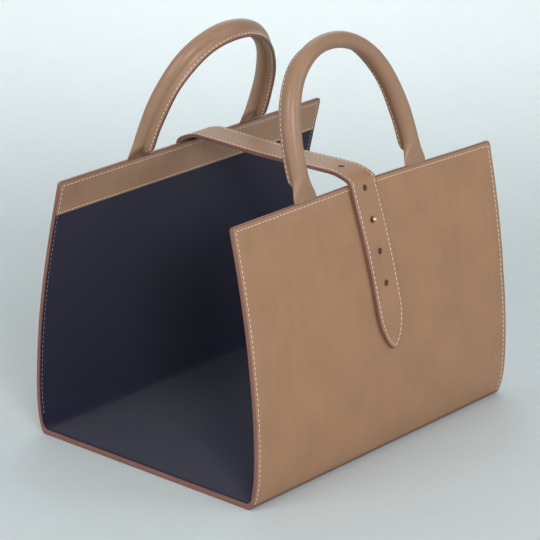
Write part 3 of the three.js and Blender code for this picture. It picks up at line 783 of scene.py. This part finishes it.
def lining_profile(depth, side):
    """The lining's section from the middle of the floor to one facing's lower edge, as (distance out, z)."""
    sink = depth - LINING_OUTER
    radius = FLOOR_CORNER - sink
    floor = BASE_TOP + 0.3 + sink
    s_from, s_to = s_at(floor + radius, side), s_at(FACING_LOW, side) + 1.5
    wall = on_wall(side)(0, np.linspace(s_from, s_to, 60), depth)[:, 1:] * (side, 1)
    centre = wall[0, 0] - radius
    angles = np.linspace(-math.pi / 2, 0, 9)[:-1]
    corner = np.stack([centre + radius * np.cos(angles), floor + radius + radius * np.sin(angles)], -1)
    flat = np.stack([np.linspace(0, centre, FLOOR_STEPS + 1)[:-1], np.full(FLOOR_STEPS, floor)], -1)
    return np.concatenate([flat, corner, wall])


def build_lining():
    """One cloth from facing to facing, eased a little over the floor."""
    lower, upper = (
        np.concatenate([lining_profile(depth, FRONT)[::-1] * (-1, 1), lining_profile(depth, BACK)[1:]])
        for depth in (LINING_OUTER, LINING_OUTER + LINING_THICK))
    lengths = lengths_along(upper)
    section_side = [FRONT if y < 0 else BACK for y in upper[:, 0]]
    margin = 1.2
    left, right = (
        np.array([end_of_wall(z, side, end) - end * margin for z, side in zip(upper[:, 1], section_side)])
        for end in (-1, 1))
    normal = leftward(np.gradient(upper, axis=0))
    count = np.arange(len(upper))
    # Low ripples run over the cloth and die out towards its sewn ends.
    ripple, flat_ends = 0.22, 14
    rings, flat = [], []
    for share in np.linspace(0, 1, 83):
        x = left + (right - left) * share
        there_and_back = np.concatenate([x, x[::-1]])
        ease = ripple * np.sin(x * 0.045 + 0.11 * count) * np.sin(count * 0.09)
        lift = np.maximum(ease, 0) * np.minimum(1, (HALF - np.abs(x)) / flat_ends)
        top = upper + normal * np.maximum(lift, 0)[:, None]
        rings.append(np.column_stack([there_and_back, np.concatenate([lower, top[::-1]])]))
        flat.append(np.column_stack([there_and_back, np.concatenate([lengths, lengths[::-1]])]))
    lining = swept("cloth_lining", rings, [NAVY])
    set_uv(lining.data, np.concatenate(flat).astype(np.float32) * MM)
    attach(lining, "bag")
    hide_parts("lining")


def base_section():
    """The base's outline across the bag: a slab with its long edges turned under."""
    round_off = BASE_TOP - 0.4
    bottom = BASE_HALF - 0.6
    points = []
    for side in (1, -1):
        corner = [(bottom - round_off + round_off * math.sin(a), round_off - round_off * math.cos(a))
                  for a in np.linspace(0, math.pi / 2, 7)]
        corner += [(BASE_HALF - 0.45, BASE_TOP - 0.2), (BASE_HALF - 0.8, BASE_TOP)]
        corner = [(side * y, z) for y, z in corner]
        points += corner if side == 1 else corner[::-1]
    return np.array(points)


def build_base():
    section = base_section()
    middle = np.linspace(-HALF + 4, HALF - 4, 60)
    xs = np.concatenate([[-HALF + 1.0, -HALF + 1.3], middle, [HALF - 1.3, HALF - 1.0]])
    rings = [np.column_stack([np.full(len(section), x), section]) for x in xs]
    base = swept("base_leather", rings, [BASE_LEATHER])
    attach(base, "bag")
    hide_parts("base_panel")
    build_base_end(-1)
    build_base_end(1)


def build_base_end(end):
    """The painted end of the base, widening where the wall turns into the floor."""
    place = on_wall(BACK)
    join = s_at(BASE_END_JOIN, BACK)
    outer_wall = place(0, np.linspace(join, 0.2, 8), 0.02)[:, 1:]
    round_off = BASE_TOP
    bottom = BASE_HALF - 0.3
    turn = np.array([(bottom - round_off + round_off * math.cos(a), round_off - round_off * math.sin(a))
                     for a in np.linspace(0.15, math.pi / 2, 9)])
    outer = np.concatenate([outer_wall, turn])
    inner_half = lining_profile(LINING_OUTER + LINING_THICK + 0.3, BACK)
    corner = inner_half[FLOOR_STEPS:FLOOR_STEPS + 9][::-1]
    inner_wall = place(0, np.linspace(join, s_at(corner[0][1], BACK), 3), WALL_THICK - 0.02)[:, 1:]
    inner = np.concatenate([inner_wall[:-1], corner])
    turn_steps, floor_steps = 16, 29
    outer, inner = evenly(outer, turn_steps), evenly(inner, turn_steps)
    outer_floor, inner_floor = (
        np.column_stack([np.linspace(start, 0, floor_steps + 1)[1:], np.full(floor_steps, height)])
        for start, height in ((outer[-1][0], 0.02), inner[-1]))
    outer, inner = np.concatenate([outer, outer_floor]), np.concatenate([inner, inner_floor])
    mirror = (-1, 1)
    outer = np.concatenate([outer, outer[-2::-1] * mirror])
    inner = np.concatenate([inner, inner[-2::-1] * mirror])
    rings = []
    angles, rise = bead_section()
    share = np.concatenate([(1 - np.cos(angles)) / 2, [0.92, 0.08]])
    rise = np.concatenate([rise, [BEAD["root"]] * 2])
    for o, i in zip(outer, inner):
        points = o[None, :] + (i - o)[None, :] * share[:, None]
        rings.append(np.column_stack([end * (HALF + rise), points]))
    piece = swept("base_end_right" if end > 0 else "base_end_left", rings, [PAINT])
    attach(piece, "bag")


# ---------------------------------------------------------------- handles


def bezier(points, t):
    p = np.array(points, float)
    t = t[:, None]
    return (1 - t) ** 3 * p[0] + 3 * t * (1 - t) ** 2 * p[1] + 3 * t ** 2 * (1 - t) * p[2] + t ** 3 * p[3]


def arch_table():
    half, high = ARCH["half_span"], ARCH["height"]
    out, up, crown = ARCH["shoulder_out"], ARCH["shoulder"], ARCH["crown_half"]
    t = np.linspace(0, 1, 300)
    left = bezier([(-half, 0), (-half - out, up), (-crown, high), (0, high)], t)
    right = bezier([(0, high), (crown, high), (half + out, up), (half, 0)], t)
    line = np.concatenate([left, right[1:]])
    return line, lengths_along(line)


ARCH_LINE, ARCH_S = arch_table()
ARCH_LENGTH = ARCH_S[-1]
ARCH_TANGENT = np.gradient(ARCH_LINE, ARCH_S, axis=0)


def on_handle(side):
    """A placer for one handle.

    distance runs along the arch, p across the leather in the arch's plane, and q out of the bag. The arch
    stands on the sloping edge, sways to one end and leans in over the mouth."""
    name = f"{SIDE_NAME[side]}_handle_tilt"
    hinge = np.array(JOINTS[name]["pos_m"]) / MM
    lean = side * math.radians(LEAN[side])
    span = ARCH["half_span"]
    drop = (edge_height(-span, side) - edge_height(span, side)) / (2 * span)

    def place(distance, p, q):
        distance, p, q = np.broadcast_arrays(*(np.asarray(a, float) for a in (distance, p, q)))
        inside = np.clip(distance, 0, ARCH_LENGTH)
        centre = np.stack([np.interp(inside, ARCH_S, ARCH_LINE[:, k]) for k in (0, 1)], -1)
        tangent = np.stack([np.interp(inside, ARCH_S, ARCH_TANGENT[:, k]) for k in (0, 1)], -1)
        centre = centre + tangent * (distance - inside)[..., None]
        x = centre[..., 0] - tangent[..., 1] * p
        z = centre[..., 1] + tangent[..., 0] * p
        swayed = x + SWAY[side] * np.maximum(z, 0) / ARCH["height"]
        height = STRETCH[side] * z - drop * x
        y = side * q
        turned_y = y * math.cos(lean) - height * math.sin(lean)
        turned_z = y * math.sin(lean) + height * math.cos(lean)
        return np.stack([hinge[0] + swayed, hinge[1] + turned_y, hinge[2] + turned_z], -1)

    return place


def to_foot(distance):
    """How far a place on the arch is from the nearer foot."""
    return np.minimum(distance, ARCH_LENGTH - distance)


def handle_section(distance):
    """The rolled leather's outline: round, with the two sewn leaves standing off it as a flange."""
    from_foot = float(to_foot(distance))
    foot_width, foot_thick = FOOT["half_width"], FOOT["half_thick"]
    width = foot_width + (TUBE_RADIUS - foot_width) * smooth(from_foot, 0, FOOT["spread"])
    thick = foot_thick + (TUBE_RADIUS - foot_thick) * smooth(from_foot, FOOT["neck"], FOOT["round"])
    flange = FLANGE_STUB + (FLANGE - FLANGE_STUB) * smooth(from_foot, FLANGE_FROM, FLANGE_TO)
    fillet = FLANGE_FILLET * flange / FLANGE
    start = math.asin(min(0.95, (LEAF + fillet) / width))
    angles = np.linspace(start, 2 * math.pi - start, 41)
    rim_p, rim_q = width * np.sin(angles), -thick * np.cos(angles)
    root = rim_q[0]
    tip = -thick - flange
    # The tube runs into the leaves through a hollow, and they meet in a rounded painted edge.
    edge_round = 0.5
    share = np.linspace(0, 1, 9)[1:]
    leaf_q = root + (tip + edge_round - root) * share
    leaf_p = LEAF + fillet * (1 - share) ** 2.6
    cap = np.linspace(0, math.pi, 7)[1:-1]
    cap_p, cap_q = LEAF * np.cos(cap), tip + edge_round - edge_round * np.sin(cap)
    p = np.concatenate([rim_p, -leaf_p, -cap_p, leaf_p[::-1]])
    q = np.concatenate([rim_q, leaf_q, cap_q, leaf_q[::-1]])
    painted = np.zeros(len(p), bool)
    first = len(rim_p) + len(leaf_p) - 1
    painted[first:first + len(cap_p) + 1] = True
    return p, q, painted


def build_handle(side):
    label = SIDE_NAME[side]
    place = on_handle(side)
    body = f"{label}_handle"
    # The rows are closer together near the feet, where the section changes.
    foot_end = 40
    foot_rows = np.linspace(0, foot_end, 29)
    middle = np.linspace(foot_end, ARCH_LENGTH - foot_end, 130)[1:-1]
    whole = np.concatenate([foot_rows, middle, (ARCH_LENGTH - foot_rows)[::-1]])
    distances = np.concatenate([[-FOOT_BURIED], whole, [ARCH_LENGTH + FOOT_BURIED]])
    rings, flags = [], None
    for distance in distances:
        p, q, flags = handle_section(np.clip(distance, 0, ARCH_LENGTH))
        # Soft rolls and dents along the tube, none at the feet.
        swell = 1 + 0.016 * math.sin(distance * 0.13 + side) * smooth(to_foot(distance), 20, 45)
        rings.append(place(distance, p * swell, q * swell))
    handle = swept(f"{label}_handle_roll", rings, [TAN_HANDLE, PAINT])
    size = len(flags)
    slots = np.zeros(len(handle.data.polygons), np.int32)
    for i in range(len(distances) - 1):
        if FLANGE_FROM < to_foot(distances[i]):
            slots[i * size:(i + 1) * size] = flags
    handle.data.polygons.foreach_set("material_index", slots)
    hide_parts(f"{label}_handle_leather")
    hinge = JOINTS[f"{label}_handle_tilt"]["pos_m"]
    start, end = (0, hinge[1], hinge[2] - 2.5 * MM), (0, hinge[1], hinge[2] + 12 * MM)
    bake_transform(handle)
    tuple(start)
    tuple(end)

    seam_from, seam_inset = 13.0, 2.2
    flange_q = -(TUBE_RADIUS + FLANGE - seam_inset)
    line = np.array([(seam_from, flange_q), (ARCH_LENGTH - seam_from, flange_q)])
    runs = []
    for face in (1, -1):
        runs.append(stitch_run(line, lambda a, b, c, f=face: place(a, f * -c, b), -(LEAF - 0.16)))
    thread_object(f"{label}_handle_stitches", runs, body)


# ---------------------------------------------------------------- strap


def strap_line():
    """The strap's inner face as (y, z), from its sewn end over the mouth to its tip."""
    halves = []
    # The front goes on past the tip, so that the slanted tip stays on the line.
    past_tip = 6
    for side, low in ((BACK, SEWN_END_LOW), (FRONT, TAIL_LOW - past_tip)):
        bend_z = edge_height(STRAP_X, side) - BEND["below_edge"]
        s = np.linspace(s_at(low, side), s_at(bend_z, side), 80)
        wall = on_wall(side)(0, s, -STRAP_STAND_OFF)[:, 1:]
        up = (wall[-1] - wall[-2]) / np.linalg.norm(wall[-1] - wall[-2])
        crest = np.array([side * BEND["crest_half"][side], BEND["crest_z"]])
        handles = (wall[-1] + up * BEND["start_pull"], crest + np.array([side * BEND["crest_pull"], 0]))
        bend = bezier([wall[-1], *handles, crest], np.linspace(0, 1, 40))
        halves.append(np.concatenate([wall, bend[1:]]))
    back, front = halves
    share = np.linspace(0, 1, 60)[1:-1]
    flat_y = back[-1][0] + (front[-1][0] - back[-1][0]) * share
    flat = np.column_stack([flat_y, back[-1][1] - BRIDGE_SAG * np.sin(math.pi * share) ** 2])
    line = np.concatenate([back, flat, front[::-1]])
    return line, lengths_along(line)


STRAP_LINE, STRAP_S = strap_line()
STRAP_T = np.gradient(STRAP_LINE, STRAP_S, axis=0)
STRAP_T /= np.linalg.norm(STRAP_T, axis=1)[:, None]
MID_BRIDGE = float(np.interp(0, -STRAP_LINE[:, 0], STRAP_S))


def strap_at_front(z):
    """Distance along the strap at which its front hanging end is at height z."""
    over_the_mouth = 60
    front = STRAP_S > MID_BRIDGE + over_the_mouth
    return float(np.interp(-z, -STRAP_LINE[front, 1], STRAP_S[front]))


DRIFT_FROM = strap_at_front(WALL_TOP)
TIP = strap_at_front(TAIL_LOW)
STUD_X = STRAP_X + (strap_at_front(STUD_Z) - DRIFT_FROM) * math.tan(TAIL_DRIFT)


def on_strap(u, v, depth):
    """u across the strap, v along it, depth down from its top face."""
    u, v, depth = np.broadcast_arrays(*(np.asarray(a, float) for a in (u, v, depth)))
    past = np.maximum(v - DRIFT_FROM, 0)
    along = v - u * math.sin(TAIL_DRIFT) * smooth(past, 0, 25)
    y, z = (np.interp(along, STRAP_S, STRAP_LINE[:, k]) for k in (0, 1))
    ty, tz = (np.interp(along, STRAP_S, STRAP_T[:, k]) for k in (0, 1))
    lift = 2 * STRAP_LAYER + STRAP_SEAM - depth
    x = STRAP_X + u + past * math.tan(TAIL_DRIFT)
    return np.stack([x, y + tz * lift, z - ty * lift], -1)


def strap_outline():
    """The strap laid flat: rounded at its sewn end, straight, then a leaf-shaped point."""
    half, round_off = STRAP_HALF, SEWN_END_ROUND
    points = []
    for centre, start in ((-half + round_off, 180), (half - round_off, 270)):
        points += [(centre + round_off * math.cos(a), round_off + round_off * math.sin(a))
                   for a in np.radians(np.linspace(start, start + 90, 9))]
    straight = TIP - TAIL_POINT
    right = bezier([(half, straight), (half, straight + 20), (8, TIP - 3), (1.5, TIP)], np.linspace(0, 1, 16))
    return np.array(points + [tuple(p) for p in right] + [(-p[0], p[1]) for p in right[::-1]])


def build_strap():
    """Two layers sewn together."""
    outline = strap_outline()
    stud_v = strap_at_front(STUD_Z)
    holes = [((0, stud_v + k * HOLE_PITCH), HOLE_RADIUS) for k in (-2, -1, 0, 1, 2)]
    hinge = np.array(JOINTS["strap_end_lift"]["pos_m"])
    groove = (STRAP_STITCH_INSET, 0.22, lambda u, v: np.ones(len(u)))
    for name, top, ending in (("strap", 0, ""), ("strap_backing", STRAP_LAYER + STRAP_SEAM, "_backing")):
        piece = leather_sheet(name, outline, on_strap, top, STRAP_LAYER, [TAN, PAINT, SHADED_HOLE_WALL],
                              holes, groove, spacing=3.0, step=1.6)
        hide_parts(f"strap_bridge{ending}", f"strap_tail{ending}")
        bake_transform(piece)
    row = inward_rows(resample(outline, 1.0), [STRAP_STITCH_INSET])[0]
    line = np.concatenate([row, row[:1]])
    thread = thread_object("strap_stitches", [
        stitch_run(line, on_strap, 0.1),
        stitch_run(line, on_strap, 2 * STRAP_LAYER + 0.02, -1),
    ], None)
    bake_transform(thread)


# ---------------------------------------------------------------- stud


def build_stud():
    """A turned ball on a waisted neck, with a collar against the leather."""
    place = on_wall(FRONT)
    s = s_at(STUD_Z, FRONT)
    ball, ball_at, neck = 2.5, 5.3, 1.3
    shank = [(1.2, -1.9), (1.2, 0.05)]
    collar = [(2.0, 0.1), (2.15, 0.25), (2.0, 0.4), (1.6, 0.7)]
    waist = [(neck, 1.2), (neck, 2.6)]
    join = math.asin((neck + 0.1) / ball)
    sphere = [(ball * math.sin(a), ball_at - ball * math.cos(a))
              for a in np.linspace(join, math.pi - 0.02, 26)]
    origin = place(STUD_X, s, 0)
    normal = place(STUD_X, s, -1) - origin
    side = np.array([1.0, 0, 0])
    up = np.cross(normal, side)
    angles = np.arange(40) * 2 * math.pi / 40
    rings = [origin + normal * h + r * (np.cos(angles)[:, None] * side + np.sin(angles)[:, None] * up)
             for r, h in shank + collar + waist + sphere]
    stud = swept("ball_stud", rings, [BRASS])
    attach(stud, "bag")
    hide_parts("stud_post")


# ---------------------------------------------------------------- hidden pieces keep their CAD shape


def dress_hidden_pieces():
    finishes = {
        "base_board": BOARD, "front_stiffener": BOARD, "back_stiffener": BOARD,
        "front_handle_core": COTTON, "back_handle_core": COTTON, "stud_backplate": BRASS,
    }
    for label in SIDE_NAME.values():
        for hand in ("left", "right"):
            finishes[f"{label}_handle_tab_{hand}"] = TAN_CAD
    for node, material in finishes.items():
        mesh = frame["nodes"][node].data
        mesh.materials.clear()
        mesh.materials.append(material)


# ---------------------------------------------------------------- camera, floor and light


def build_camera():
    """Seen from the left front, a little above, through a long lens."""
    yaw, pitch, roll = (math.radians(a) for a in (CAMERA_YAW, 19.974, 0.788))
    ahead = Vector((math.sin(yaw) * math.cos(pitch), math.cos(yaw) * math.cos(pitch), -math.sin(pitch)))
    right = ahead.cross(Vector((0, 0, 1))).normalized()
    up = right.cross(ahead)
    c, s = math.cos(roll), math.sin(roll)
    axes = (right * c + up * s, up * c - right * s, -ahead)
    data = bpy.data.cameras.new("camera")
    data.sensor_width = 36
    data.lens = 186.2
    camera = bpy.data.objects.new("camera", data)
    bpy.context.scene.collection.objects.link(camera)
    place = Matrix.Translation((-1.6680, -1.4045, 0.9207))
    camera.matrix_world = place @ Matrix(axes).transposed().to_4x4()
    bpy.context.scene.camera = camera


def build_floor():
    """A floor that curves up into a backdrop square on to the camera. Its sizes are in metres."""
    size, back, round_off, sunk = 4.0, 1.6, 0.6, 0.0002
    profile = [(-size, 0.0)] + [
        (back - round_off + round_off * math.sin(a), round_off - round_off * math.cos(a))
        for a in np.linspace(0, math.pi / 2, 20)] + [(back, size)]
    turn = Matrix.Rotation(math.radians(-CAMERA_YAW), 3, "Z")
    points = []
    for x in (-size, size):
        points += [turn @ Vector((x, y, z - sunk)) for y, z in profile]
    n = len(profile)
    faces = [[i, i + 1, n + i + 1, n + i] for i in range(n - 1)]
    paper = Nodes("studio_floor")
    grain = paper.noise(paper.coordinates(False), 40, 3)
    tone = linear(196, 203, 204)
    paper.finish(paper.ramp(grain, tone, (0.3, 0.99), (0.7, 1.01)))
    paper.shade(Roughness=0.85)
    floor = new_object("studio_floor", np.array(points) / MM, faces, [paper.material])
    floor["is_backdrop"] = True


def area_light(name, place, target, size, power):
    data = bpy.data.lights.new(name, "AREA")
    data.shape = "DISK"
    data.size = size
    data.energy = power
    light = bpy.data.objects.new(name, data)
    bpy.context.scene.collection.objects.link(light)
    light.location = place
    light.rotation_euler = (Vector(target) - Vector(place)).to_track_quat("-Z", "Y").to_euler()


def build_light():
    middle = (0, 0, 0.15)
    area_light("key", (-1.4, -1.9, 1.25), middle, 0.8, 27)
    area_light("window", (1.1, -2.2, 1.1), middle, 1.0, 12)
    area_light("fill", (-2.0, 0.3, 1.2), middle, 1.4, 18)
    area_light("top", (0.5, 0.4, 2.4), middle, 1.8, 6)
    area_light("backdrop", (0.8, 0.7, 1.4), (1.9, 1.8, 0.7), 1.3, 20)
    world = bpy.data.worlds.new("studio")
    world.use_nodes = True
    world.node_tree.nodes["Background"].inputs["Color"].default_value = (0.90, 0.94, 0.96, 1)
    world.node_tree.nodes["Background"].inputs["Strength"].default_value = 0.5
    bpy.context.scene.world = world
    bpy.context.scene.view_settings.view_transform = "Standard"


# ---------------------------------------------------------------- assembly

build_camera()
build_floor()
build_light()
for wall_side in (FRONT, BACK):
    build_wall(wall_side)
    build_handle(wall_side)
build_lining()
build_base()
build_strap()
build_stud()
dress_hidden_pieces()

boxes = {"cad": CAD_BOX, "visual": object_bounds()}
{name: [list(corner) for corner in box] for name, box in boxes.items()}
